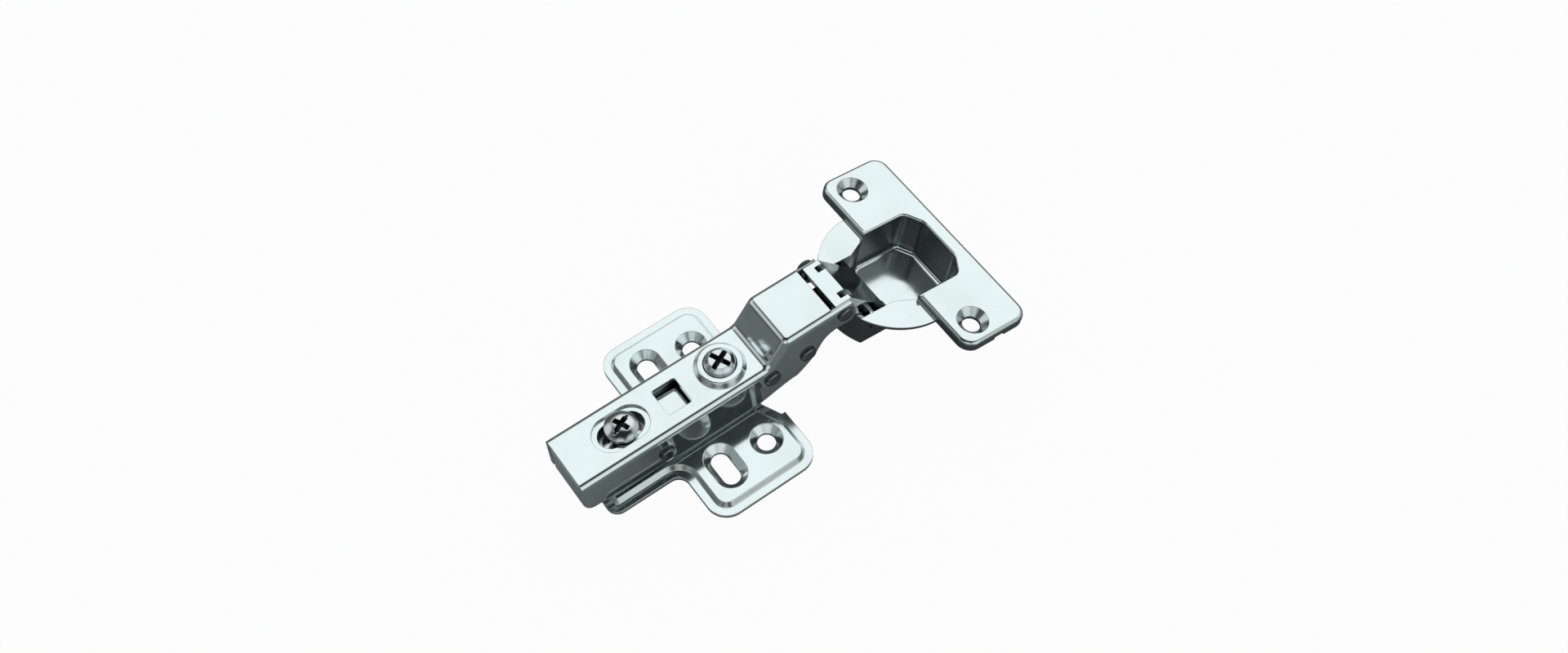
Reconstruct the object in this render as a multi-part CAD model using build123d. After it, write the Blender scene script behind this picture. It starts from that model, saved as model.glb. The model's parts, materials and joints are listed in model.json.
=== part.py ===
from build123d import *
from math import atan, cos, hypot, radians, sin, tan
import os

# Stations in X are measured from the middle of the four panel holes

# Mounting plate
HOLE_PITCH = 32.0
ROW_PITCH = 12.0
HOLE_D = 4.6
HEAD_D = 8.2
SLOT_TRAVEL = 4.6
SHEET = 1.2
WING_TOP = 2.5
WING_BACK = -15.3
WING_FRONT = 14.3
WING_HALF = 27.3
WING_CORNER = 5.5
RIM_W = 2.0
SLOPE_W = 0.9
NECK_BACK = -34.5
NECK_HALF = 11.0
NECK_CORNER = 3.0
HAT_BACK = -32.5
HAT_FRONT = -2.8
HAT_TOP = 11.4
HAT_BEND = 1.6
RELIEF_HALF = 12.2
RELIEF_STEP = 1.0
RELIEF_DEEP = 3.4
RELIEF_FLOOR = 7.2
COLLAR_D = 7.0
COLLAR_H = 3.0

# Running clearances
SLIDE_GAP = 0.2
SIDE_GAP = 0.3
PIN_GAP = 0.05
SEAT_GAP = 0.02
TURN_GAP = 0.1
EAR_GAP = 0.2
THROAT_GAP = 0.4
SPRING_ROOM = 3.0

# Arm
ARM_TOP = 17.06
ARM_HALF = 8.0
ARM_SHEET = 1.2
ARM_BEND = 1.9
ARM_BACK = -39.3
ARM_FOLD_X = 12.8
DECK_BACK_X = 18.0
DECK_FRONT_X = 31.6
DECK_TOP = 24.6
FOLD_R = 2.2
WALL_LOW = 4.0
TAIL_LOW = 5.6
FLAP_TOP_GAP = 0.8
FLAP_SLIT = 2.1
WINDOW_X = -9.6
WINDOW_L = 6.5
WINDOW_W = 7.7
WINDOW_R = 0.6
BOSS_X = 4.2
BOSS_BASE_R = 6.3
BOSS_TOP_R = 5.4
BOSS_H = 1.4
BOSS_HOLE_R = 4.1
BOSS_ROUND = 0.5
TRAY_X = -23.7
TRAY_L = 14.6
TRAY_W = 9.4
TRAY_DEEP = 0.8
TRAY_SLOT_L = 12.0
NOSE_LIP = 1.9
NOSE_BROW = (3.0, 0.6)
NOSE_CHIN = [(3.5, -3.0), (1.9, -5.0), (-1.2, -4.4)]
NOSE_ROUND = 1.5
BELLY = [(4.9, 2.0), (2.9, -1.2), (0.7, -4.2), (-3.0, -7.1), (-9.0, -8.2)]

# Carrier inside the arm
CARRIER_BACK = -36.5
CARRIER_TOP_FRONT = 9.5
CARRIER_FRONT = 14.2
CARRIER_LOW = 2.9
NIB_ROOT = 9.8
NIB_TOP = 7.4
NIB_LOW = 4.9
CARRIER_SHEET = 1.2
DEPTH_TRAVEL = 5.0

# Screws
DEPTH_X = -23.5
DEPTH_HEAD_R = 4.05
DEPTH_HEAD_H = 2.4
DEPTH_HEAD_Z = 16.9
DEPTH_NECK_R = 2.9
DEPTH_SHANK_R = 2.4
DEPTH_TIP_Z = 7.0
OVERLAY_R = 3.65
OVERLAY_TOP = 20.3
OVERLAY_BEVEL = 1.0
OVERLAY_NECK_R = 2.4
OVERLAY_FOOT_R = 3.4
OVERLAY_FOOT_H = 1.5
DOME_R = 6.5
CROSS_L = 4.8
CROSS_TIP_L = 2.6
CROSS_W = 1.25
CROSS_DEEP = 2.0
CROSS_TURN = 25.0
OVERLAY_CROSS_L = 6.2
DRIVER_SLOT_W = 0.6
DRIVER_SLOT_DEEP = 1.1

# Pivots in the arm (X, Z)
TILT_X = -16.65
TILT_Z = 8.8
UPPER_X = 35.09
UPPER_Z = 21.42
LOWER_X = 24.2
LOWER_Z = 13.48
DAMPER_X = 13.7
DAMPER_Z = 12.4
RIVET_R = 1.3
RIVET_HEAD_R = 2.15
RIVET_HEAD_H = 0.8
RIVET_BEVEL = 0.25
CUP_PIN_HEAD_H = 0.5

# Cup, drawn in its own axes: U along the door, W out of the door
CUP_X = 62.11
CUP_Z = 13.58
CUP_TILT = 8.8
CUP_PITCH = 48.0
CUP_CENTRE_U = -6.0
CUP_SHEET = 0.9
BORE_R = 17.5
CUP_DEEP = 11.0
FLANGE_H = 2.9
FLANGE_BACK_U = -6.5
FLANGE_FRONT_U = 13.6
FLANGE_HALF = 30.1
FLANGE_CORNER = 3.8
FLANGE_ROUND = 1.3
SKIRT_NOTCH_U = 4.1
SKIRT_NOTCH_L = 3.0
SKIRT_NOTCH_H = 0.9
RIM_R = 18.4
POCKET_FRONT_U = 9.3
POCKET_FRONT_HALF = 6.1
POCKET_SIDE_U = 6.4
POCKET_HALF = 10.9
MOUTH_ROUND = 0.8
WELL_CORNER = 2.4
WELL_ROUND = 1.5
TAPER_U0 = -6.8
TAPER_U1 = -12.2
CUP_PIN_R = 1.0
CUP_PIN_HEAD_R = 1.4
PIN_C_U = -13.87
PIN_C_W = -6.46
PIN_D_U = -17.73
PIN_D_W = -6.26

# Links
LINK_SHEET = 1.3
EYE_WALL = 0.9
WEB_BACK = 1.9
WEB_BEND = 2.6
WEB_RISE = 2.9
WEB_END = (1.2, 1.4)
NOTCH_BACK = 0.6
NOTCH_W = 1.7
OPEN_EYE = (-0.22, -0.82)
OPEN_EYE_R = 2.7
OPEN_EYE_GAP = 1.0
HUB_R = 2.7
BAR_OVER = (6.8, 4.5)
BAR_UNDER = [(8.8, 2.0), (1.2, -2.5)]
WEB_CLEAR = 2.85
HOOK_BACK = 5.0
HOOK_FRONT = 0.2
HOOK_HEEL = (-3.0, 0.2)
HOOK_KNEE = [(1.3, -3.1), (-0.2, -2.3)]
LUG = (0.7, -4.6)
LUG_R = 1.4
EAR_NECK = 0.6

# Damper and springs
DAMPER_AXIS_Z = 8.6
DAMPER_R = 2.5
DAMPER_WALL = 0.5
DAMPER_BACK = 10.6
DAMPER_FRONT = 18.6
GLAND_L = 1.6
ROD_R = 1.0
ROD_BACK = 15.2
ROD_FRONT = 22.2
SHOE_R = 1.5
SHOE_L = 0.8
WIRE_R = 0.4
WIRE_SIDES = 8
COIL_R = 2.1
COIL_PITCH = 0.82
COIL_HALF_TURNS = 3
LEG_L = 5.0

# Widths across the arm, from its outside inwards
arm_in = ARM_HALF - ARM_SHEET
carrier_out = arm_in - SIDE_GAP
carrier_in = carrier_out - CARRIER_SHEET
hat_half = carrier_in - SIDE_GAP
ear_out = arm_in - EAR_GAP
ear_in = ear_out - LINK_SHEET
lower_half = arm_in - SPRING_ROOM
throat_half = ARM_HALF + THROAT_GAP

# Cup pins at the open angle
tilt = radians(CUP_TILT)
pin_c_x = CUP_X + PIN_C_U * cos(tilt) + PIN_C_W * sin(tilt)
pin_c_z = CUP_Z - PIN_C_U * sin(tilt) + PIN_C_W * cos(tilt)
pin_d_x = CUP_X + PIN_D_U * cos(tilt) + PIN_D_W * sin(tilt)
pin_d_z = CUP_Z - PIN_D_U * sin(tilt) + PIN_D_W * cos(tilt)


def offset_from(x, z, points):
    """Points given by their distance from a pivot."""
    return [(x + dx, z + dz) for dx, dz in points]


def side(points, low, high):
    """Solid between two Y stations from an outline in X and Z."""
    outline = Plane.XZ * Polygon(*points, align=None)
    return Pos(0, high, 0) * extrude(outline, high - low, dir=(0, -1, 0))


def across(x, z, radius, low, high):
    """Round bar along Y."""
    return Pos(x, high, z) * extrude(Plane.XZ * Circle(radius), high - low)


def upright(outline, low, high):
    """Solid between two Z stations from an outline in X and Y."""
    return Pos(0, 0, low) * extrude(outline, high - low, dir=(0, 0, 1))


def countersunk(x, y, top, low, travel=0.0):
    """Cutter for a countersunk hole, drawn long in Y when it is a slot."""
    flare = (HEAD_D - HOLE_D) / 2
    if travel:
        hole = Pos(x, y) * Rot(0, 0, 90) * SlotCenterToCenter(travel, HOLE_D)
        mouth = Pos(x, y) * Rot(0, 0, 90) * SlotCenterToCenter(travel, HEAD_D)
    else:
        hole = Pos(x, y) * Circle(HOLE_D / 2)
        mouth = Pos(x, y) * Circle(HEAD_D / 2)
    taper = loft([Pos(0, 0, top - flare) * hole, Pos(0, 0, top) * mouth])
    return upright(hole, low - SHEET, top) + taper


def cross_recess(x, top, length):
    """Cutter for a cross recess that tapers into a screw head."""
    mouth = Rectangle(length, CROSS_W)
    wing = loft([Pos(0, 0, -CROSS_DEEP) * Rectangle(CROSS_TIP_L, CROSS_W), mouth])
    wing += upright(mouth, 0, CROSS_DEEP)
    return Pos(x, 0, top) * Rot(0, 0, CROSS_TURN) * (wing + Rot(0, 0, 90) * wing)


def rivet(x, z, shank_r, half, head_r):
    """Rivet through the arm with a low head on each side."""
    body = across(x, z, shank_r, -half, half)
    for low in (half, -half - RIVET_HEAD_H):
        body += across(x, z, head_r, low, low + RIVET_HEAD_H)
    faces = body.faces().sort_by(Axis.Y)
    ends = [face.outer_wire().edges()[0] for face in (faces[0], faces[-1])]
    return chamfer(ends, RIVET_BEVEL)


# Mounting plate: rim sheet, embossed wings and a hat rail the carrier rides on
wing_mid = (WING_BACK + WING_FRONT) / 2
wing_len = WING_FRONT - WING_BACK
plan = Pos(wing_mid, 0) * RectangleRounded(wing_len, 2 * WING_HALF, WING_CORNER)
neck_len = WING_FRONT - NECK_BACK - WING_CORNER
neck = Pos(NECK_BACK + neck_len / 2, 0) * RectangleRounded(neck_len, 2 * NECK_HALF, NECK_CORNER)
outline = plan + neck
inner = [v for v in outline.vertices()
         if abs(abs(v.Y) - NECK_HALF) < SEAT_GAP and abs(v.X - WING_BACK) < SEAT_GAP]
outline = fillet(inner, NECK_CORNER)
relief = [(WING_FRONT - RELIEF_STEP, RELIEF_HALF), (WING_FRONT - RELIEF_DEEP, RELIEF_FLOOR),
          (WING_FRONT - RELIEF_DEEP, -RELIEF_FLOOR), (WING_FRONT - RELIEF_STEP, -RELIEF_HALF),
          (WING_FRONT + RELIEF_STEP, -RELIEF_HALF), (WING_FRONT + RELIEF_STEP, RELIEF_HALF)]
outline -= Polygon(*relief, align=None)
plate = upright(outline, 0, SHEET)
foot = offset(outline, -RIM_W)
brow = offset(outline, -RIM_W - SLOPE_W)
plate += loft([Pos(0, 0, SHEET) * foot, Pos(0, 0, WING_TOP) * brow])
under = offset(outline, -RIM_W - SHEET)
plate -= upright(under, 0, WING_TOP - SHEET)
hat_mid = (HAT_BACK + HAT_FRONT) / 2
hat_len = HAT_FRONT - HAT_BACK
hat = Pos(hat_mid, 0, HAT_TOP / 2) * Box(hat_len, 2 * hat_half, HAT_TOP)
hat = fillet(hat.edges().filter_by(Axis.X).group_by(Axis.Z)[-1], HAT_BEND)
plate += hat
for y in (-HOLE_PITCH / 2, HOLE_PITCH / 2):
    pad = Pos(ROW_PITCH / 2, y) * Circle(HEAD_D / 2 + SHEET)
    long_pad = Rot(0, 0, 90) * SlotCenterToCenter(SLOT_TRAVEL, HEAD_D + 2 * SHEET)
    long_pad = Pos(-ROW_PITCH / 2, y) * long_pad
    plate += upright(pad + long_pad, 0, WING_TOP)
    plate -= countersunk(ROW_PITCH / 2, y, WING_TOP, 0)
    plate -= countersunk(-ROW_PITCH / 2, y, WING_TOP, 0, SLOT_TRAVEL)
hat_under = HAT_TOP - SHEET
plate -= Pos(hat_mid, 0, hat_under / 2) * Box(hat_len + SHEET, 2 * (hat_half - SHEET), hat_under)
plate += upright(Pos(DEPTH_X, 0) * Circle(COLLAR_D / 2), hat_under - COLLAR_H, hat_under)
plate -= upright(Pos(DEPTH_X, 0) * Circle(DEPTH_SHANK_R + PIN_GAP), 0, HAT_TOP + SHEET)

# Carrier: an inverted channel over the hat rail
carrier_under = HAT_TOP + SLIDE_GAP
carrier_top = carrier_under + CARRIER_SHEET
wall_outline = [(CARRIER_BACK, carrier_top), (CARRIER_TOP_FRONT, carrier_top),
                (CARRIER_TOP_FRONT, NIB_ROOT), (CARRIER_FRONT, NIB_TOP), (CARRIER_FRONT, NIB_LOW),
                (CARRIER_FRONT - 2 * CARRIER_SHEET, CARRIER_LOW), (CARRIER_BACK, CARRIER_LOW)]
carrier = side(wall_outline, -carrier_out, carrier_out)
carrier = fillet(carrier.edges().filter_by(Axis.X).group_by(Axis.Z)[-1], HAT_BEND)
carrier -= Pos(0, 0, carrier_under / 2) * Box(4 * wing_len, 2 * carrier_in, carrier_under)
front_gap = Box(2 * CARRIER_FRONT, 2 * carrier_in, carrier_top)
carrier -= Pos(CARRIER_FRONT + CARRIER_TOP_FRONT, 0, carrier_top) * front_gap
depth_slot = Pos(DEPTH_X, 0) * SlotCenterToCenter(DEPTH_TRAVEL, 2 * (DEPTH_SHANK_R + SIDE_GAP))
carrier -= upright(depth_slot, carrier_under - SHEET, carrier_top + SHEET)
neck_hole = Pos(BOSS_X, 0) * Circle(OVERLAY_NECK_R + PIN_GAP)
carrier -= upright(neck_hole, carrier_under - SHEET, carrier_top + SHEET)
carrier -= across(TILT_X, TILT_Z, RIVET_R + PIN_GAP, -ARM_HALF, ARM_HALF)

# Arm: one folded channel with a crank, a raised deck and two ears
slope = (DECK_TOP - ARM_TOP) / (DECK_BACK_X - ARM_FOLD_X)
lean = atan(slope) / 2
shift = ARM_SHEET * tan(lean)
lip_x = UPPER_X + NOSE_LIP
top_line = [(ARM_BACK, ARM_TOP), (ARM_FOLD_X, ARM_TOP), (DECK_BACK_X, DECK_TOP), (lip_x, DECK_TOP)]
nose = offset_from(UPPER_X, UPPER_Z, [NOSE_BROW] + NOSE_CHIN)
belly = offset_from(LOWER_X, LOWER_Z, BELLY)
tail = [belly[-1], (ARM_FOLD_X - FOLD_R, WALL_LOW), (ARM_BACK / 4, WALL_LOW),
        (ARM_BACK, TAIL_LOW), top_line[0]]
tail_run = Vector(*tail[1]) - Vector(*tail[0])
under_line = Spline(nose[-1], *belly, tangents=[(-1, 0), tail_run])
profile = make_face([Polyline(*top_line, *nose), under_line, Polyline(*tail)])
folds = [v for v in profile.vertices() if min(abs(v.X - ARM_FOLD_X), abs(v.X - DECK_BACK_X)) < SEAT_GAP]
profile = fillet(folds, FOLD_R)
tips = [v for v in profile.vertices() if v.X > UPPER_X and v.Y < DECK_TOP - SEAT_GAP]
profile = fillet(tips, NOSE_ROUND)
outer = Pos(0, ARM_HALF, 0) * extrude(Plane.XZ * profile, 2 * ARM_HALF, dir=(0, -1, 0))
long_edges = [e for e in outer.edges() if abs(abs(e.center().Y) - ARM_HALF) < SEAT_GAP
              and e.center().Z > ARM_TOP - SEAT_GAP and e.center().X < lip_x
              and (e.center().Z > UPPER_Z or e.center().X < DECK_BACK_X)]
outer = fillet(long_edges, ARM_BEND)
core_line = [(2 * ARM_BACK, ARM_TOP - ARM_SHEET), (ARM_FOLD_X + shift, ARM_TOP - ARM_SHEET),
             (DECK_BACK_X + shift, DECK_TOP - ARM_SHEET), (2 * UPPER_X, DECK_TOP - ARM_SHEET),
             (2 * UPPER_X, -ARM_TOP), (2 * ARM_BACK, -ARM_TOP)]
core = side(core_line, -arm_in, arm_in)
core_edges = [e for e in core.edges() if abs(abs(e.center().Y) - arm_in) < SEAT_GAP
              and e.center().Z > 0 and abs(e.center().X) < 2 * UPPER_X - SEAT_GAP]
core = fillet(core_edges, ARM_BEND - ARM_SHEET)
arm = outer - core
ear_gap = Box(2 * UPPER_X, 2 * arm_in, 2 * ARM_TOP)
arm -= Pos(DECK_FRONT_X + UPPER_X, 0, DECK_TOP) * ear_gap
flap_top = ARM_TOP - ARM_SHEET - FLAP_TOP_GAP
arm -= Pos(ARM_BACK, -ARM_HALF, flap_top / 2) * Box(2 * ARM_BEND, 2 * ARM_BEND, flap_top)
flap_end = ARM_HALF - FLAP_SLIT
flap = Polygon((ARM_BACK, flap_end), (ARM_BACK, -ARM_HALF), (ARM_BACK + ARM_BEND, -ARM_HALF),
               (ARM_BACK + ARM_BEND, -arm_in), (ARM_BACK + ARM_SHEET, -arm_in),
               (ARM_BACK + ARM_SHEET, flap_end), align=None)
corner = [v for v in flap.vertices() if v.X < ARM_BACK + SEAT_GAP and v.Y < 0]
flap = fillet(corner, ARM_BEND - SEAT_GAP)
arm += upright(flap, TAIL_LOW, flap_top)
tray = Pos(TRAY_X, 0) * SlotOverall(TRAY_L, TRAY_W)
tray_pad = Pos(TRAY_X, 0) * SlotOverall(TRAY_L + ARM_SHEET, TRAY_W + ARM_SHEET)
arm_under = ARM_TOP - ARM_SHEET
arm += upright(tray_pad, arm_under - TRAY_DEEP, arm_under)
arm -= upright(tray, ARM_TOP - TRAY_DEEP, ARM_TOP + ARM_SHEET)
tray_slot = Pos(TRAY_X, 0) * SlotOverall(TRAY_SLOT_L, 2 * (DEPTH_NECK_R + SIDE_GAP))
arm -= upright(tray_slot, arm_under - 2 * TRAY_DEEP, ARM_TOP)
window = Pos(WINDOW_X, 0) * RectangleRounded(WINDOW_L, WINDOW_W, WINDOW_R)
arm -= upright(window, arm_under - ARM_SHEET, ARM_TOP + ARM_SHEET)
boss = Pos(BOSS_X, 0, ARM_TOP + BOSS_H / 2) * Cone(BOSS_BASE_R, BOSS_TOP_R, BOSS_H)
arm += fillet(boss.edges().group_by(Axis.Z)[-1], BOSS_ROUND)
arm -= upright(Pos(BOSS_X, 0) * Circle(BOSS_HOLE_R), arm_under - ARM_SHEET, ARM_TOP + 2 * BOSS_H)
for x, z in ((TILT_X, TILT_Z), (UPPER_X, UPPER_Z), (LOWER_X, LOWER_Z), (DAMPER_X, DAMPER_Z)):
    arm -= across(x, z, RIVET_R + SEAT_GAP, -2 * ARM_HALF, 2 * ARM_HALF)

# Adjusting screws
depth_screw = upright(Pos(DEPTH_X, 0) * Circle(DEPTH_HEAD_R), DEPTH_HEAD_Z, DEPTH_HEAD_Z + DEPTH_HEAD_H)
depth_top = DEPTH_HEAD_Z + DEPTH_HEAD_H
depth_screw &= Pos(DEPTH_X, 0, depth_top - DOME_R) * Sphere(DOME_R)
depth_screw += upright(Pos(DEPTH_X, 0) * Circle(DEPTH_NECK_R), carrier_top + TURN_GAP, DEPTH_HEAD_Z)
depth_screw += upright(Pos(DEPTH_X, 0) * Circle(DEPTH_SHANK_R), DEPTH_TIP_Z, carrier_top + TURN_GAP)
depth_screw -= cross_recess(DEPTH_X, depth_top, CROSS_L)
driver_slot = Rot(0, 0, CROSS_TURN) * Box(2 * DEPTH_NECK_R, DRIVER_SLOT_W, 2 * DRIVER_SLOT_DEEP)
depth_screw -= Pos(DEPTH_X, 0, depth_top) * driver_slot
overlay_low = carrier_under - TURN_GAP - OVERLAY_FOOT_H
overlay_screw = upright(Pos(BOSS_X, 0) * Circle(OVERLAY_R), carrier_top + TURN_GAP, OVERLAY_TOP)
overlay_screw = chamfer(overlay_screw.edges().group_by(Axis.Z)[-1], OVERLAY_BEVEL)
overlay_screw += upright(Pos(BOSS_X, 0) * Circle(OVERLAY_NECK_R), overlay_low, carrier_top + TURN_GAP)
overlay_screw += upright(Pos(BOSS_X, 0) * Circle(OVERLAY_FOOT_R), overlay_low, overlay_low + OVERLAY_FOOT_H)
overlay_screw -= cross_recess(BOSS_X, OVERLAY_TOP, OVERLAY_CROSS_L)

# Rivets through the arm
tilt_rivet_left = across(TILT_X, TILT_Z, RIVET_R, carrier_in + TURN_GAP, ARM_HALF)
tilt_head = across(TILT_X, TILT_Z, RIVET_HEAD_R, ARM_HALF, ARM_HALF + RIVET_HEAD_H)
tilt_rivet_left += chamfer(tilt_head.edges().group_by(Axis.Y)[-1], RIVET_BEVEL)
tilt_rivet_right = mirror(tilt_rivet_left, about=Plane.XZ)
upper_rivet = rivet(UPPER_X, UPPER_Z, RIVET_R, ARM_HALF, RIVET_HEAD_R)
lower_rivet = rivet(LOWER_X, LOWER_Z, RIVET_R, ARM_HALF, RIVET_HEAD_R)
damper_rivet = rivet(DAMPER_X, DAMPER_Z, RIVET_R, ARM_HALF, RIVET_HEAD_R)

# Cup, drawn flat and then set to the open angle
door_w = -FLANGE_H
rim_w = door_w + CUP_SHEET
floor_low = door_w - CUP_DEEP
floor_top = floor_low + CUP_SHEET
far_u = CUP_CENTRE_U - 2 * BORE_R
half_line = [(POCKET_FRONT_U, POCKET_FRONT_HALF), (POCKET_SIDE_U, POCKET_HALF), (TAPER_U0, POCKET_HALF),
             (TAPER_U1, throat_half), (far_u, throat_half)]
mirrored = [(u, -v) for u, v in reversed(half_line)]
mouth = Polygon(*(half_line + mirrored), align=None)
shell = offset(mouth, CUP_SHEET, kind=Kind.INTERSECTION)
fronts = [v for v in mouth.vertices() if v.X > FLANGE_BACK_U]
mouth = fillet(fronts, WELL_CORNER)
fronts = [v for v in shell.vertices() if v.X > FLANGE_BACK_U]
shell = fillet(fronts, WELL_CORNER + CUP_SHEET)
pocket = mouth & Pos(CUP_CENTRE_U, 0) * Circle(BORE_R - CUP_SHEET)
shell = shell & Pos(CUP_CENTRE_U, 0) * Circle(BORE_R)
front_side = Pos(FLANGE_BACK_U + BORE_R, 0) * Rectangle(2 * BORE_R, 4 * BORE_R)
flange_mid = (FLANGE_BACK_U + FLANGE_FRONT_U) / 2
flange_len = FLANGE_FRONT_U - FLANGE_BACK_U
flange = Pos(flange_mid, 0) * RectangleRounded(flange_len, 2 * FLANGE_HALF, FLANGE_CORNER)
dish_half = FLANGE_HALF - CUP_SHEET
dish_len = flange_len - 2 * CUP_SHEET
dish = Pos(flange_mid, 0) * RectangleRounded(dish_len, 2 * dish_half, FLANGE_CORNER - CUP_SHEET)
cup = upright(flange, door_w, 0)
cup = fillet(cup.edges().group_by(Axis.Z)[-1], FLANGE_ROUND)
cup -= upright(dish, door_w, -CUP_SHEET)
cup += upright(shell & front_side, floor_low, 0)
throat = Pos(far_u, 0) * Rectangle(4 * BORE_R, 2 * throat_half)
rim = Pos(CUP_CENTRE_U, 0) * Circle(RIM_R) - front_side - throat
cup += upright(rim, door_w, rim_w)
body = upright(shell, floor_low, door_w)
body = fillet(body.edges().group_by(Axis.Z)[0], WELL_ROUND + CUP_SHEET)
cup += body
well = upright(pocket, floor_top, CUP_SHEET)
well = fillet(well.edges().group_by(Axis.Z)[0], WELL_ROUND)
cup -= well
lip = [e for e in cup.edges() if abs(e.center().Z) < SEAT_GAP
       and abs(e.center().Y) < POCKET_HALF + SEAT_GAP
       and FLANGE_BACK_U + SEAT_GAP < e.center().X < POCKET_FRONT_U + SEAT_GAP]
cup = fillet(lip, MOUTH_ROUND)
for v in (-CUP_PITCH / 2, CUP_PITCH / 2):
    cup += upright(Pos(0, v) * Circle(HEAD_D / 2 + CUP_SHEET), door_w + SLIDE_GAP, -CUP_SHEET)
    cup -= countersunk(0, v, 0, door_w)
for u, w in ((PIN_C_U, PIN_C_W), (PIN_D_U, PIN_D_W)):
    cup -= across(u, w, CUP_PIN_R + SEAT_GAP, -BORE_R, BORE_R)
for v in (-FLANGE_HALF, FLANGE_HALF):
    cup -= Pos(SKIRT_NOTCH_U, v, door_w) * Box(SKIRT_NOTCH_L, 2 * CUP_SHEET, 2 * SKIRT_NOTCH_H)
place = Pos(CUP_X, 0, CUP_Z) * Rot(0, CUP_TILT, 0)
cup = place * cup
wall_out = throat_half + CUP_SHEET
head_out = wall_out + CUP_PIN_HEAD_H
stub = across(PIN_C_U, PIN_C_W, CUP_PIN_R, ear_in, wall_out)
stub += across(PIN_C_U, PIN_C_W, CUP_PIN_HEAD_R, wall_out, head_out)
stub += across(PIN_C_U, PIN_C_W, CUP_PIN_HEAD_R, ear_out + TURN_GAP, throat_half)
cup_pin_left = place * stub
cup_pin_right = place * mirror(stub, about=Plane.XZ)
cup_pin_low = across(PIN_D_U, PIN_D_W, CUP_PIN_R, -wall_out, wall_out)
for low in (wall_out, -head_out):
    cup_pin_low += across(PIN_D_U, PIN_D_W, CUP_PIN_HEAD_R, low, low + CUP_PIN_HEAD_H)
cup_pin_low = place * cup_pin_low

# Upper link: two ears and a bent web with notched corners
reach = hypot(UPPER_X - pin_c_x, UPPER_Z - pin_c_z)
run_x = (UPPER_X - pin_c_x) / reach
run_z = (UPPER_Z - pin_c_z) / reach


def beside(along, below):
    """Point beside the line from the cup pin to the arm pivot."""
    return (pin_c_x + along * run_x - below * run_z, pin_c_z + along * run_z + below * run_x)


web_back = UPPER_X - WEB_BACK
web_bend = UPPER_X + WEB_BEND
web_top = UPPER_Z + WEB_RISE
web_end_x = pin_c_x + WEB_END[0]
web_end_z = pin_c_z + WEB_END[1]
fall = atan((web_top - web_end_z) / (web_end_x - web_bend))
web_line = [(web_back, web_top), (web_bend, web_top), (web_end_x, web_end_z)]
web_under = [(web_end_x - LINK_SHEET * sin(fall), web_end_z - LINK_SHEET * cos(fall)),
             (web_bend - LINK_SHEET * tan(fall / 2), web_top - LINK_SHEET),
             (web_back, web_top - LINK_SHEET)]
eye_r = CUP_PIN_R + EYE_WALL
hub_r = RIVET_R + LINK_SHEET
ear_line = web_line + [beside(0, -EAR_NECK), beside(eye_r, EAR_NECK), beside(4 * LINK_SHEET, EAR_NECK),
                       beside(reach / 2, 2 * EAR_NECK), beside(reach, hub_r), (web_back, UPPER_Z)]
upper_link = side(web_line + web_under, -ear_out, ear_out)
for low in (-ear_out, ear_in):
    upper_link += side(ear_line, low, low + LINK_SHEET)
    upper_link += across(UPPER_X, UPPER_Z, hub_r, low, low + LINK_SHEET)
    upper_link += across(pin_c_x, pin_c_z, eye_r, low, low + LINK_SHEET)
notch_len = WEB_BEND + LINK_SHEET - NOTCH_BACK
notch_mid = UPPER_X + NOTCH_BACK + notch_len / 2
for y in (NOTCH_W / 2 - ear_in, ear_in - NOTCH_W / 2):
    upper_link -= Pos(notch_mid, y, web_top) * Box(notch_len, NOTCH_W, 4 * LINK_SHEET)
upper_link -= across(UPPER_X, UPPER_Z, RIVET_R + PIN_GAP, -ARM_HALF, ARM_HALF)
upper_link -= across(pin_c_x, pin_c_z, CUP_PIN_R + PIN_GAP, -ARM_HALF, ARM_HALF)


def below_web(x):
    """Height under the upper link's falling web that the lower link keeps to."""
    return web_top - (x - web_bend) * tan(fall) - LINK_SHEET / cos(fall) - WEB_CLEAR


# Lower link: a hooked bar over the cup's rim, with a wide eye on the low cup pin
open_x = pin_d_x + OPEN_EYE[0]
open_z = pin_d_z + OPEN_EYE[1]
hook = offset_from(LOWER_X, LOWER_Z, [(0, HUB_R), BAR_OVER])
knee_x = pin_d_x - HOOK_BACK
knee_z = below_web(knee_x)
tip_x = pin_d_x - HOOK_FRONT
hook += [(knee_x, knee_z), (tip_x, below_web(tip_x))]
hook += offset_from(pin_d_x, pin_d_z, [HOOK_HEEL]) + offset_from(knee_x, knee_z, HOOK_KNEE)
hook += offset_from(LOWER_X, LOWER_Z, BAR_UNDER + [(0, -HUB_R)])
lower_link = side(hook, -lower_half, lower_half)
lower_link += across(LOWER_X, LOWER_Z, HUB_R, -lower_half, lower_half)
lower_link += across(open_x, open_z, OPEN_EYE_R, -lower_half, lower_half)
lug_x = LOWER_X + LUG[0]
lug_z = LOWER_Z + LUG[1]
lower_link += across(lug_x, lug_z, LUG_R, -lower_half, lower_half)
lug = [(lug_x - LUG_R, lug_z), (lug_x + LUG_R, lug_z),
       (LOWER_X + LUG_R, LOWER_Z), (LOWER_X - LUG_R, LOWER_Z)]
lower_link += side(lug, -lower_half, lower_half)
lower_link -= across(LOWER_X, LOWER_Z, RIVET_R + PIN_GAP, -ARM_HALF, ARM_HALF)
lower_link -= across(open_x, open_z, CUP_PIN_R + OPEN_EYE_GAP, -ARM_HALF, ARM_HALF)


def along(radius, back, front):
    """Round bar along X on the damper's axis."""
    return Pos(back, 0, DAMPER_AXIS_Z) * extrude(Plane.YZ * Circle(radius), front - back)


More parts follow.
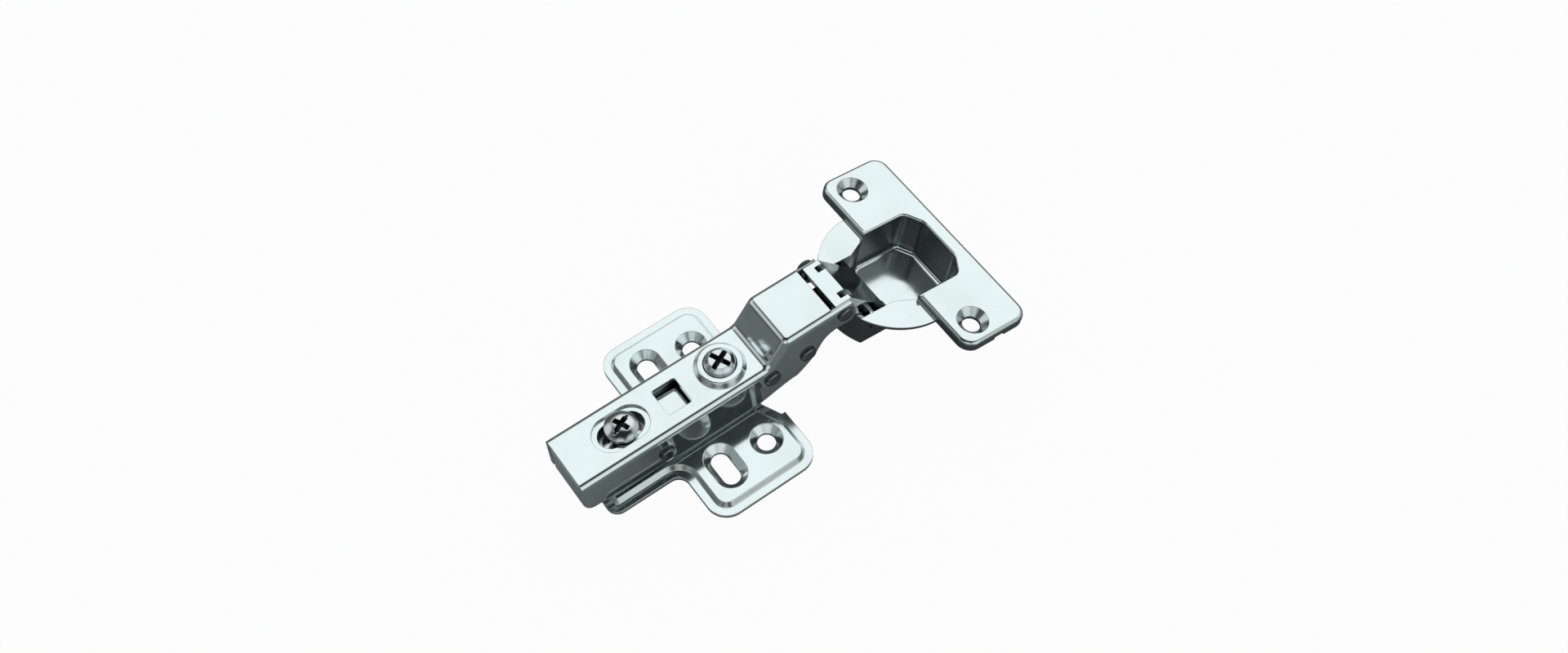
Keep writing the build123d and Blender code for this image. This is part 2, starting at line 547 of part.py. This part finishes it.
# Damper: a tube on its rivet, gland, piston, rod and shoe
bore_r = DAMPER_R - DAMPER_WALL
damper_tube = along(DAMPER_R, DAMPER_BACK, DAMPER_FRONT)
damper_tube += across(DAMPER_X, DAMPER_Z, RIVET_R + LINK_SHEET, -ear_in / 2, ear_in / 2)
damper_tube -= along(bore_r, DAMPER_BACK + DAMPER_WALL, DAMPER_FRONT)
damper_tube -= across(DAMPER_X, DAMPER_Z, RIVET_R + SEAT_GAP, -ARM_HALF, ARM_HALF)
damper_gland = along(bore_r, DAMPER_FRONT - GLAND_L, DAMPER_FRONT)
damper_gland -= along(ROD_R + PIN_GAP, DAMPER_BACK, ROD_FRONT)
damper_piston = along(bore_r - PIN_GAP, ROD_BACK - GLAND_L, ROD_BACK)
damper_rod = along(ROD_R, ROD_BACK, ROD_FRONT)
damper_shoe = along(SHOE_R, ROD_FRONT, ROD_FRONT + SHOE_L)

# Closing springs: a short coil with two legs on each side of the lower link
rise = COIL_PITCH / 2
coil_y = lower_half + TURN_GAP + WIRE_R + rise / 2
arcs = []
for turn in range(COIL_HALF_TURNS):
    swing = 1 if turn % 2 else -1
    start = (swing * COIL_R, 0, turn * rise - rise / 2)
    middle = (0, -swing * hypot(COIL_R, rise / 2), turn * rise)
    finish = (-swing * COIL_R, 0, turn * rise + rise / 2)
    arcs.append(ThreePointArc(start, middle, finish))
first = arcs[0] @ 0
last = arcs[-1] @ 1
legs = Line(first - (arcs[0] % 0) * LEG_L, first), Line(last, last + (arcs[-1] % 1) * LEG_L)
path = Wire([legs[0], *arcs, legs[1]])
section = Plane(origin=path @ 0, z_dir=path % 0) * RegularPolygon(WIRE_R, WIRE_SIDES)
wire = sweep(section, path=path)
spring = Pos(LOWER_X, coil_y, LOWER_Z) * Rot(-90, 0, 0) * wire
spring_left = spring
spring_right = mirror(spring, about=Plane.XZ)

NODES = {
    "mounting_plate": plate,
    "depth_screw": depth_screw,
    "carrier": carrier,
    "overlay_screw": overlay_screw,
    "arm": arm,
    "tilt_rivet_left": tilt_rivet_left,
    "tilt_rivet_right": tilt_rivet_right,
    "upper_rivet": upper_rivet,
    "lower_rivet": lower_rivet,
    "damper_rivet": damper_rivet,
    "damper_tube": damper_tube,
    "damper_gland": damper_gland,
    "damper_piston": damper_piston,
    "damper_rod": damper_rod,
    "damper_shoe": damper_shoe,
    "spring_left": spring_left,
    "spring_right": spring_right,
    "upper_link": upper_link,
    "lower_link": lower_link,
    "cup": cup,
    "cup_pin_left": cup_pin_left,
    "cup_pin_right": cup_pin_right,
    "cup_pin_low": cup_pin_low,
}

# The origin lies midway between the two round panel holes
origin = Pos(-ROW_PITCH / 2, 0, 0)
os.makedirs("parts", exist_ok=True)
for name, shape in NODES.items():
    export_step(origin * shape, os.path.join("parts", name + ".step"))
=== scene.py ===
import json
import logging
import math
from dataclasses import dataclass
from enum import Enum
from typing import Any

import bpy
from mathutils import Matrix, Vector

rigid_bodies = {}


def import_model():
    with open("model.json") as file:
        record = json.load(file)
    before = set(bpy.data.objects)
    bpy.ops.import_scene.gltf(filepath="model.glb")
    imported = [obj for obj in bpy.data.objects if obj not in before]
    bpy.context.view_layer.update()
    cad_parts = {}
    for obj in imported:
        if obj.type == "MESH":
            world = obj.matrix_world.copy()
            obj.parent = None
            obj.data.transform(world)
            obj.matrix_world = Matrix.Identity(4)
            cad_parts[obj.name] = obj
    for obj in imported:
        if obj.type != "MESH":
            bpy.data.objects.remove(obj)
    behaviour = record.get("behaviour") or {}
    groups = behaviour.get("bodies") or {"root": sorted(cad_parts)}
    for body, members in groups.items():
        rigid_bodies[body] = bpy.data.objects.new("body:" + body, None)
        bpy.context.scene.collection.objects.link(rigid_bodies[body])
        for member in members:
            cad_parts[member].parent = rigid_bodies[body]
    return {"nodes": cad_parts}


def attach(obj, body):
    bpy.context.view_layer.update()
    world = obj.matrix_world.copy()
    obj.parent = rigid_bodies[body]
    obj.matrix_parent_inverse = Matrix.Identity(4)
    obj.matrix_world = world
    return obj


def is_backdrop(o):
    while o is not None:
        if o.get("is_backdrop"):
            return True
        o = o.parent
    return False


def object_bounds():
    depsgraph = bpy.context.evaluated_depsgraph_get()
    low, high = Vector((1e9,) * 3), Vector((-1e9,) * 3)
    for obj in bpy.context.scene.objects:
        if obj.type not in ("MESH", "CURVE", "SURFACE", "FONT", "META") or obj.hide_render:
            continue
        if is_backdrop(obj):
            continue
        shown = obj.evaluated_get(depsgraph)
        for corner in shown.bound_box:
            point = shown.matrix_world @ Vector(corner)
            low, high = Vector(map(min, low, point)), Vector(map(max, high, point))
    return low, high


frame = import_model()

LOG = logging.getLogger("cabinet_hinge")
MM = 0.001
SMOOTH_ANGLE = math.radians(30)
FULL_STRENGTH = 1.0
MIX_SHARE, MIX_FIRST, MIX_SECOND, MIX_RESULT = 0, 6, 7, 2

Triple = tuple[float, float, float]
Colour = Triple
Span = tuple[float, float]
WHITE: Colour = (1.0, 1.0, 1.0)


class Run(Enum):
    """Direction in which the fine lines of a polished sheet run, as a scale of their pattern."""

    ACROSS_ARM = (1.0, 0.04, 1.0)
    ALONG_ARM = (0.04, 1.0, 1.0)


def opaque(colour: Colour) -> tuple[float, float, float, float]:
    """Colour with full alpha."""
    return (*colour, 1.0)


class Socket:
    """A shader socket that Python's operators work on."""

    def __init__(self, sheet: "NodeSheet", out: bpy.types.NodeSocket | None) -> None:
        """Keep the node sheet and the output it stands for."""
        self.sheet = sheet
        self.out = out

    def _math(self, operation: str, first: Any, second: Any) -> "Socket":
        """Add one Math node.

        Args:
            operation: The Math node's operation.
            first: Left operand, a socket or a number.
            second: Right operand, a socket or a number.

        Returns:
            The node's result.
        """
        return self.sheet.node("ShaderNodeMath", {"operation": operation}, {0: first, 1: second})

    def __add__(self, other: Any) -> "Socket":
        """Sum."""
        return self._math("ADD", self, other)

    def __radd__(self, other: Any) -> "Socket":
        """Sum with a number on the left."""
        return self._math("ADD", other, self)

    def __sub__(self, other: Any) -> "Socket":
        """Difference."""
        return self._math("SUBTRACT", self, other)

    def __rsub__(self, other: Any) -> "Socket":
        """Difference with a number on the left."""
        return self._math("SUBTRACT", other, self)

    def __mul__(self, other: Any) -> "Socket":
        """Product."""
        return self._math("MULTIPLY", self, other)

    def __rmul__(self, other: Any) -> "Socket":
        """Product with a number on the left."""
        return self._math("MULTIPLY", other, self)

    def between(self, low: float, high: float) -> "Socket":
        """Smooth step of this value.

        Args:
            low: Value that gives 0.
            high: Value that gives 1.

        Returns:
            A value from 0 to 1.
        """
        settings = {"interpolation_type": "SMOOTHSTEP"}
        limits = {"Value": self, "From Min": low, "From Max": high}
        return self.sheet.node("ShaderNodeMapRange", settings, limits)

    def most(self, other: Any) -> "Socket":
        """Larger of two values."""
        return self._math("MAXIMUM", self, other)

    def size(self) -> "Socket":
        """Value without its sign."""
        return self._math("ABSOLUTE", self, 0.0)

    def root(self) -> "Socket":
        """Square root."""
        return self._math("SQRT", self, 0.0)


class NodeSheet:
    """The nodes of one material or of the world."""

    def __init__(self, tree: bpy.types.NodeTree) -> None:
        """Start from an empty tree."""
        self.tree = tree
        self.tree.nodes.clear()

    def node(self, kind: str, settings: dict[str, Any] | None = None,
             inputs: dict[Any, Any] | None = None, output: Any = 0) -> Socket:
        """Add a node.

        Args:
            kind: Type of the node.
            settings: Properties that are set first; stops is a list for a colour ramp.
            inputs: Values or sockets by the input's name or number.
            output: Name or number of the output to return.

        Returns:
            The chosen output, which is empty for a node without outputs.
        """
        made = self.tree.nodes.new(kind)
        for name, value in (settings or {}).items():
            if name == "stops":
                self._stops(made.color_ramp, value)
            else:
                setattr(made, name, value)
        for name, value in (inputs or {}).items():
            if isinstance(value, Socket):
                self.tree.links.new(value.out, made.inputs[name])
            else:
                made.inputs[name].default_value = value
        return Socket(self, made.outputs[output] if made.outputs else None)

    def _stops(self, ramp: bpy.types.ColorRamp, stops: tuple[tuple[float, Colour], ...]) -> None:
        """Set a ramp's stops.

        Args:
            ramp: The colour ramp.
            stops: Places from 0 to 1 with their colours.
        """
        while len(ramp.elements) < len(stops):
            ramp.elements.new(1.0)
        for element, (place, colour) in zip(ramp.elements, stops):
            element.position = place
            element.color = opaque(colour)

    def blend(self, share: Any, first: Any, second: Any) -> Socket:
        """Mix two colours.

        Args:
            share: How much of the second colour shows.
            first: First colour or socket.
            second: Second colour or socket.

        Returns:
            The mixed colour.
        """
        pair = [one if isinstance(one, Socket) else opaque(one) for one in (first, second)]
        inputs = {MIX_SHARE: share, MIX_FIRST: pair[0], MIX_SECOND: pair[1]}
        return self.node("ShaderNodeMix", {"data_type": "RGBA"}, inputs, output=MIX_RESULT)

    def noise(self, place: Socket, scale: float, detail: float) -> Socket:
        """Noise on a place, from 0 to 1."""
        inputs = {"Vector": place, "Scale": scale, "Detail": detail}
        return self.node("ShaderNodeTexNoise", {}, inputs)

    def stretch(self, place: Socket, run: Run) -> Socket:
        """Object place drawn out along the lines of a polished sheet."""
        return self.node("ShaderNodeMapping", {}, {"Vector": place, "Scale": run.value})

    def dot(self, way: Socket, fixed: Triple) -> Socket:
        """Dot product of a direction with a fixed one."""
        inputs = {0: way, 1: fixed}
        return self.node("ShaderNodeVectorMath", {"operation": "DOT_PRODUCT"}, inputs, output="Value")

    def bump(self, height: Socket, depth: float, normal: Socket | None = None) -> Socket:
        """Tilt the surface by a height.

        Args:
            height: Height from 0 to 1.
            depth: Distance in metres that a height of 1 stands for.
            normal: Normal to start from, or none for the mesh's own.

        Returns:
            The tilted normal.
        """
        inputs = {"Height": height, "Distance": depth}
        if normal is not None:
            inputs["Normal"] = normal
        return self.node("ShaderNodeBump", {}, inputs)


def new_material(name: str) -> tuple[bpy.types.Material, NodeSheet]:
    """Start a material.

    Args:
        name: Name of the material.

    Returns:
        The material and its empty node sheet.
    """
    material = bpy.data.materials.new(name)
    material.use_nodes = True
    return material, NodeSheet(material.node_tree)


@dataclass(frozen=True)
class PlatedMetal:
    """Bright plated steel, with sheet waviness, fine lines and faint smears.

    Sizes are in metres and colours are linear. dull is the colour of painted shade,
    which subclasses lay in driver recesses and on walls. Limits are the noise values
    between which a mark fades in.
    """

    name: str
    tint: Colour = (0.85, 0.91, 0.915)
    shade: Colour = (0.80, 0.86, 0.86)
    shade_limits: Span = (0.35, 0.75)
    rough: float = 0.1
    smear: float = 0.06
    smear_scale: float = 0.3
    smear_detail: float = 5.0
    smear_limits: Span = (0.45, 0.75)
    wave_size: float = 0.012
    wave_depth: float = 1.8e-5
    wave_detail: float = 3.0
    line_size: float = 0.0012
    line_depth: float = 2.5e-7
    line_detail: float = 4.0
    line_share: float = 0.3
    edge_radius: float = 3.2e-4
    edge_samples: int = 6
    # colour of the painted shade, and the roughness added where it lies
    painted_shade_colour: Colour = (0.03, 0.033, 0.033)
    masked_rough: float = 0.3
    run: Run = Run.ACROSS_ARM

    def painted_shade(self, sheet: NodeSheet, place: Socket) -> Any:
        """Share of the painted shade at a place, which is none on plain plating."""
        return 0.0

    def build(self) -> bpy.types.Material:
        """Make the material.

        Returns:
            The finished material.
        """
        material, sheet = new_material(self.name)
        place = sheet.node("ShaderNodeTexCoord", output="Object")
        drawn = sheet.stretch(place, self.run)
        patch = sheet.noise(place, 1 / self.wave_size, self.wave_detail)
        lines = sheet.noise(drawn, 1 / self.line_size, self.line_detail)
        smears = sheet.noise(drawn, self.smear_scale / self.line_size, self.smear_detail)
        # painted shade: share of a dark colour laid where shade falls, in recesses and on walls
        painted_shade = self.painted_shade(sheet, place)
        colour = sheet.blend(patch.between(*self.shade_limits), self.tint, self.shade)
        # blend in the painted shade colour
        colour = sheet.blend(painted_shade, colour, self.painted_shade_colour)
        rough = self.rough + smears.between(*self.smear_limits) * self.smear
        rough = rough + lines * (self.line_share * self.smear) + painted_shade * self.masked_rough
        round_edge = sheet.node(
            "ShaderNodeBevel", {"samples": self.edge_samples}, {"Radius": self.edge_radius})
        wave = sheet.bump(patch, self.wave_depth, round_edge)
        relief = sheet.bump(lines, self.line_depth, wave)
        metal = sheet.node("ShaderNodeBsdfPrincipled", {}, {
            "Base Color": colour, "Metallic": 1.0, "Roughness": rough, "Normal": relief})
        sheet.node("ShaderNodeOutputMaterial", {}, {"Surface": metal})
        return material


@dataclass(frozen=True)
class ScrewMetal(PlatedMetal):
    """Plated screw with painted shade in its driver recess.

    The head's top is flat out to flat_radius and falls away beyond it by fall times
    the distance, or as a dome of dome_radius, which is as good as flat at 1 metre.
    pit_blur is the share of pit_radius over which the recess fades out.
    """

    axis_x: float = 0.0
    top_z: float = 0.0
    flat_radius: float = 0.0
    fall: float = 0.0
    dome_radius: float = 1.0
    pit_radius: float = 3.2 * MM
    pit_blur: float = 0.03
    pit_edge: float = 0.06 * MM
    pit_depth: float = 0.5 * MM

    def painted_shade(self, sheet: NodeSheet, place: Socket) -> Socket:
        """Share of the painted shade colour, which fills the driver recess as painted shade.

        Args:
            sheet: The material's nodes.
            place: Place on the screw.

        Returns:
            A value from 0 to 1.
        """
        x, y, z = (sheet.node("ShaderNodeSeparateXYZ", {}, {0: place}, output=axis)
                   for axis in "XYZ")
        x = x - self.axis_x
        square = x * x + y * y
        radius = square.root()
        dome = square * (0.5 / self.dome_radius)
        slope = (radius - self.flat_radius).most(0.0) * self.fall
        # painted shade: dark below the head's surface, inside the recess
        depth = (self.top_z - dome - slope - z).between(self.pit_edge, self.pit_depth)
        inner, outer = (side * self.pit_radius for side in (1 - self.pit_blur, 1 + self.pit_blur))
        return depth * (1.0 - radius.between(inner, outer))


@dataclass(frozen=True)
class WallShadedMetal(PlatedMetal):
    """Plated piece with painted shade on its walls, which are darker than the faces across its axis.

    face_limits are the cosines of the angle to the axis between which a wall turns into a face.
    """

    axis: Triple = (0.0, 1.0, 0.0)
    wall_share: float = 0.8
    face_limits: Span = (0.2, 0.85)

    def painted_shade(self, sheet: NodeSheet, place: Socket) -> Socket:
        """Share of the painted shade colour, which lies on the walls as painted shade.

        Args:
            sheet: The material's nodes.
            place: Place on the piece.

        Returns:
            A value from 0 to 1.
        """
        facing = sheet.node("ShaderNodeTexCoord", output="Normal")
        lean = sheet.dot(facing, self.axis).size()
        # painted shade on faces that turn away from the axis
        return self.wall_share * (1.0 - lean.between(*self.face_limits))


@dataclass(frozen=True)
class MouldedPlastic:
    """Dark moulded plastic with a fine spark-eroded grain.

    The grain's high spots are lighter by grain_lift and rougher by grain_rough.
    """

    name: str
    tint: Colour = (0.022, 0.022, 0.024)
    rough: float = 0.42
    grain_size: float = 0.0004
    grain_depth: float = 6e-6
    grain_detail: float = 3.0
    grain_lift: float = 1.6
    grain_rough: float = 0.12

    def build(self) -> bpy.types.Material:
        """Make the material.

        Returns:
            The finished material.
        """
        material, sheet = new_material(self.name)
        place = sheet.node("ShaderNodeTexCoord", output="Object")
        grain = sheet.noise(place, 1 / self.grain_size, self.grain_detail)
        relief = sheet.bump(grain, self.grain_depth)
        light = tuple(self.grain_lift * one for one in self.tint)
        plastic = sheet.node("ShaderNodeBsdfPrincipled", {}, {
            "Base Color": sheet.blend(grain, self.tint, light),
            "Roughness": self.rough + grain * self.grain_rough, "Normal": relief})
        sheet.node("ShaderNodeOutputMaterial", {}, {"Surface": plastic})
        return material


Finish = PlatedMetal | MouldedPlastic

SHEET_NICKEL = PlatedMetal("sheet_nickel")
# lower link: plated metal with a very dark tint that is painted shade inside the arm
LINK_PAINTED_SHADE = PlatedMetal(
    "link_painted_shade", tint=(0.14, 0.15, 0.15), shade=(0.09, 0.10, 0.10), rough=0.2)
CARRIER_NICKEL = PlatedMetal("carrier_nickel", rough=0.3)
# cup: painted shade darkens its walls inside and out; the walls are also rougher
CUP_NICKEL = WallShadedMetal(
    "cup_nickel", axis=(0.153, 0.0, 0.988), wall_share=0.74, run=Run.ALONG_ARM)
# rivets and pins: nickel with a dark tint that is painted shade, and painted shade on walls facing
# across Y
RIVET_NICKEL = WallShadedMetal(
    "rivet_nickel", tint=(0.30, 0.33, 0.32), shade=(0.22, 0.24, 0.24), rough=0.14)
# screws whose driver recesses get painted shade
DEPTH_NICKEL = ScrewMetal(
    "depth_nickel", tint=(0.78, 0.82, 0.83), shade=(0.68, 0.72, 0.73),
    axis_x=-29.5 * MM, top_z=19.3 * MM, dome_radius=6.5 * MM)
OVERLAY_NICKEL = ScrewMetal(
    "overlay_nickel", tint=(0.78, 0.82, 0.83), shade=(0.68, 0.72, 0.73),
    axis_x=-1.8 * MM, top_z=20.3 * MM, flat_radius=2.65 * MM, fall=1.0)
SPRING_WIRE = PlatedMetal(
    "spring_wire", tint=(0.46, 0.47, 0.48), shade=(0.36, 0.37, 0.38), rough=0.22)
DAMPER_PLASTIC = MouldedPlastic("damper_plastic")


@dataclass
class SubAssembly:
    """A group of solids that belong together.

    finishes maps each finish to the solids that wear it.
    """

    title: str
    finishes: dict[Finish, tuple[str, ...]]

    def build(self) -> None:
        """Model the pieces that go on the solids, of which most groups have none."""

    def smooth(self) -> None:
        """Turn the selected faces outwards, leave edit mode and smooth the rounds."""
        bpy.ops.mesh.normals_make_consistent(inside=False)
        bpy.ops.object.mode_set(mode="OBJECT")
        bpy.ops.object.shade_smooth_by_angle(angle=SMOOTH_ANGLE)

    def wear(self, piece: bpy.types.Object, finish: Finish) -> None:
        """Put a finish on a piece.

        Args:
            piece: The object to dress.
            finish: Its finish.
        """
        material = bpy.data.materials.get(finish.name) or finish.build()
        piece.data.materials.clear()
        piece.data.materials.append(material)
        LOG.info("%s: %s wears %s", self.title, piece.name, finish.name)

    def dress(self) -> None:
        """Put each finish on its solids."""
        for finish, nodes in self.finishes.items():
            for node in nodes:
                self.wear(frame["nodes"][node], finish)


@dataclass
class SlidePlate(SubAssembly):
    """The mounting plate and its carrier, whose raised pad shows through the arm's window."""

    pad_x: float = -15.6 * MM
    pad_length: float = 9.6 * MM
    pad_width: float = 10.6 * MM
    pad_low: float = 12.3 * MM
    pad_top: float = 14.2 * MM
    pad_draft: float = 0.5 * MM
    pad_round: float = 0.5 * MM
    round_steps: int = 5

    def build(self) -> None:
        """Press the pad up from the carrier's web."""
        bpy.ops.object.select_all(action="DESELECT")
        middle = (self.pad_low + self.pad_top) / 2
        bpy.ops.mesh.primitive_cube_add(size=1.0, location=(self.pad_x, 0.0, middle))
        pad = bpy.context.object
        pad.name = "carrier_pad"
        pad.scale = (self.pad_length, self.pad_width, self.pad_top - self.pad_low)
        bpy.ops.object.transform_apply(location=True, rotation=True, scale=True)
        for edge in pad.data.edges:
            edge.select = all(pad.data.vertices[end].co.z > middle for end in edge.vertices)
        bpy.ops.object.mode_set(mode="EDIT")
        bpy.ops.mesh.select_mode(type="EDGE")
        narrow = (1 - 2 * self.pad_draft / self.pad_length,
                  1 - 2 * self.pad_draft / self.pad_width, 1.0)
        bpy.ops.transform.resize(value=narrow, center_override=(self.pad_x, 0.0, self.pad_top))
        bpy.ops.mesh.select_more()
        bpy.ops.mesh.bevel(offset=self.pad_round, segments=self.round_steps, affect="EDGES")
        bpy.ops.mesh.select_all(action="SELECT")
        self.smooth()
        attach(pad, "carrier")
        self.wear(pad, SHEET_NICKEL)


@dataclass
class ScrewSet(SubAssembly):
    """The adjusting screws, and the thread that shows on the overlay screw."""

    axis_x: float = -1.8 * MM
    thread_low: float = 15.9 * MM
    thread_radius: float = 3.645 * MM
    thread_ridge: float = 0.19 * MM
    ridge_sides: int = 3
    thread_pitch: float = 0.62 * MM
    thread_turns: int = 5
    thread_steps: int = 72

    def build(self) -> None:
        """Wind the thread round the overlay screw's head."""
        bpy.ops.object.select_all(action="DESELECT")
        quarter = math.pi / 2
        bpy.ops.mesh.primitive_circle_add(
            vertices=self.ridge_sides, radius=self.thread_ridge, rotation=(quarter, quarter, 0))
        thread = bpy.context.object
        thread.name = "overlay_thread"
        bpy.ops.object.transform_apply(location=True, rotation=True, scale=True)
        self.shift((self.thread_radius, 0.0, self.thread_low))
        bpy.ops.object.modifier_add(type="SCREW")
        winding = thread.modifiers[-1]
        winding.screw_offset = self.thread_pitch
        winding.iterations = self.thread_turns
        winding.steps = self.thread_steps
        winding.render_steps = self.thread_steps
        bpy.ops.object.modifier_apply(modifier=winding.name)
        self.shift((self.axis_x, 0.0, 0.0))
        bpy.ops.object.mode_set(mode="EDIT")
        bpy.ops.mesh.select_all(action="SELECT")
        bpy.ops.mesh.fill_holes(sides=self.ridge_sides)
        self.smooth()
        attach(thread, "overlay_screw")
        self.wear(thread, OVERLAY_NICKEL)

    def shift(self, step: Triple) -> None:
        """Move the whole mesh of the active piece.

        Args:
            step: Distance along each axis.
        """
        bpy.ops.object.mode_set(mode="EDIT")
        bpy.ops.mesh.select_all(action="SELECT")
        bpy.ops.transform.translate(value=step)
        bpy.ops.object.mode_set(mode="OBJECT")


@dataclass
class FoldedArm(SubAssembly):
    """The folded arm with its links, rivets and springs, which need no further piece."""


@dataclass
class Damper(SubAssembly):
    """The damper inside the arm, which needs no further piece."""


@dataclass
class HingeCup(SubAssembly):
    """The cup with its pins, which need no further piece."""


HINGE = (
    SlidePlate("plate", {SHEET_NICKEL: ("mounting_plate",), CARRIER_NICKEL: ("carrier",)}),
    ScrewSet("screws", {DEPTH_NICKEL: ("depth_screw",), OVERLAY_NICKEL: ("overlay_screw",)}),
    FoldedArm("arm", {
        SHEET_NICKEL: ("arm", "upper_link"),
        LINK_PAINTED_SHADE: ("lower_link",),
        RIVET_NICKEL: (
            "tilt_rivet_left", "tilt_rivet_right", "upper_rivet", "lower_rivet", "damper_rivet"),
        SPRING_WIRE: ("spring_left", "spring_right")}),
    Damper("damper", {
        DAMPER_PLASTIC: ("damper_tube", "damper_gland", "damper_shoe"),
        SPRING_WIRE: ("damper_rod", "damper_piston")}),
    HingeCup("cup", {
        CUP_NICKEL: ("cup",),
        RIVET_NICKEL: ("cup_pin_left", "cup_pin_right", "cup_pin_low")}),
)


@dataclass(frozen=True)
class SoftBox:
    """A round patch of light in the studio, hidden from the camera.

    aim is the way towards its middle; core and edge are angles from it in degrees.
    """

    aim: Triple
    core: float
    edge: float
    colour: Colour

    def share(self, sheet: NodeSheet, way: Socket) -> Socket:
        """How much of the patch shows in a direction.

        Args:
            sheet: The world's nodes.
            way: Direction that is looked in.

        Returns:
            A value from 0 to 1.
        """
        near = sheet.dot(way, tuple(Vector(self.aim).normalized()))
        return near.between(math.cos(math.radians(self.edge)), math.cos(math.radians(self.core)))


@dataclass
class Studio:
    """Floor, light and camera, with places in metres in the hinge's own frame.

    The floor is white to the camera by seen_share and shows the table's tone in
    reflections. sky gives the world's colours by height, from level to straight up.
    """

    camera_at: Vector = Vector((-94.164, -151.915, 333.506)) * MM
    camera_to: Vector = Vector((19.234, 3.208, 10.0)) * MM
    lens: float = 35.31
    sensor: float = 36.0
    clip_near: float = 0.01
    clip_far: float = 20.0
    floor_half: float = 3.0
    floor_gap: float = 4.8 * MM
    paper: Colour = (0.8, 0.82, 0.82)
    table: Colour = (0.225, 0.26, 0.25)
    seen_share: float = 0.965
    mirrored_share: float = 0.03
    sky: tuple[tuple[float, Colour], ...] = (
        (0.0, (0.085, 0.072, 0.055)), (0.14, (0.075, 0.072, 0.064)),
        (0.32, (0.14, 0.15, 0.148)), (0.55, (0.2, 0.215, 0.212)),
        (0.68, (0.11, 0.12, 0.118)), (0.78, (0.02, 0.025, 0.024)),
        (1.0, (0.02, 0.025, 0.024)))
    boxes: tuple[SoftBox, ...] = (
        SoftBox((-0.95, -0.15, 0.28), 6.0, 28.0, (0.30, 0.33, 0.33)),
        SoftBox((-0.58, 0.66, 0.48), 8.0, 28.0, (0.7, 0.74, 0.74)),
        SoftBox((-0.58, -0.66, 0.48), 10.0, 32.0, (0.7, 0.74, 0.74)),
        SoftBox((0.25, -0.88, 0.40), 12.0, 36.0, (0.78, 0.84, 0.84)),
        SoftBox((0.85, -0.25, 0.42), 8.0, 36.0, (0.5, 0.54, 0.54)),
        SoftBox((0.42, 0.45, 0.79), 27.0, 46.0, (0.95, 1.0, 1.0)))

    def set_camera(self) -> None:
        """Place the camera at the photograph's angle."""
        data = bpy.data.cameras.new("camera")
        data.lens = self.lens
        data.sensor_width = self.sensor
        data.clip_start = self.clip_near
        data.clip_end = self.clip_far
        camera = bpy.data.objects.new("camera", data)
        bpy.context.scene.collection.objects.link(camera)
        camera.location = self.camera_at
        camera.rotation_mode = "QUATERNION"
        camera.rotation_quaternion = (self.camera_to - self.camera_at).to_track_quat("-Z", "Y")
        bpy.context.scene.camera = camera

    def set_floor(self) -> None:
        """Lay a pale floor under the hinge, below the lowest reach of the cup as it closes."""
        bpy.ops.object.select_all(action="DESELECT")
        low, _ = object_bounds()
        bpy.ops.mesh.primitive_plane_add(size=2 * self.floor_half, location=(0, 0, 0))
        floor = bpy.context.object
        floor.name = "floor"
        for vertex in floor.data.vertices:
            vertex.co.z = low.z - self.floor_gap
        material, sheet = new_material("pale_floor")
        seen = sheet.node("ShaderNodeLightPath", output="Is Camera Ray")
        mirrored = sheet.node("ShaderNodeLightPath", output="Is Glossy Ray")
        through = sheet.node("ShaderNodeLightPath", output="Is Transmission Ray")
        tone = sheet.blend(mirrored, self.paper, self.table)
        paper = sheet.node("ShaderNodeBsdfDiffuse", {}, {"Color": tone})
        white = sheet.node(
            "ShaderNodeEmission", {}, {"Color": opaque(WHITE), "Strength": FULL_STRENGTH})
        share = self.seen_share * (seen + through) + self.mirrored_share * mirrored
        shown = sheet.node("ShaderNodeMixShader", {}, {0: share, 1: paper, 2: white})
        sheet.node("ShaderNodeOutputMaterial", {}, {"Surface": shown})
        floor.data.materials.append(material)
        floor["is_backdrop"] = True

    def set_world(self) -> None:
        """Light the hinge with soft boxes on a graded sky, which the camera sees as white."""
        world = bpy.data.worlds.new("studio")
        bpy.context.scene.world = world
        world.use_nodes = True
        sheet = NodeSheet(world.node_tree)
        way = sheet.node("ShaderNodeTexCoord", output="Generated")
        up = sheet.node("ShaderNodeSeparateXYZ", {}, {0: way}, output="Z")
        sky = sheet.node("ShaderNodeValToRGB", {"stops": self.sky}, {0: up})
        for box in self.boxes:
            sky = sheet.blend(box.share(sheet, way), sky, box.colour)
        seen = sheet.node("ShaderNodeLightPath", output="Is Camera Ray")
        glow = sheet.node("ShaderNodeBackground", {}, {"Color": sky, "Strength": FULL_STRENGTH})
        white = sheet.node(
            "ShaderNodeBackground", {}, {"Color": opaque(WHITE), "Strength": FULL_STRENGTH})
        shown = sheet.node("ShaderNodeMixShader", {}, {0: seen, 1: glow, 2: white})
        sheet.node("ShaderNodeOutputWorld", {}, {"Surface": shown})

    def build(self) -> None:
        """Set the stage."""
        self.set_camera()
        self.set_floor()
        self.set_world()
        bpy.context.scene.view_settings.view_transform = "Standard"


def main() -> None:
    """Dress the hinge and set the studio round it."""
    logging.basicConfig(level=logging.INFO)
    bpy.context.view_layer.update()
    for group in HINGE:
        group.build()
        group.dress()
    Studio().build()


if __name__ == "__main__":
    main()
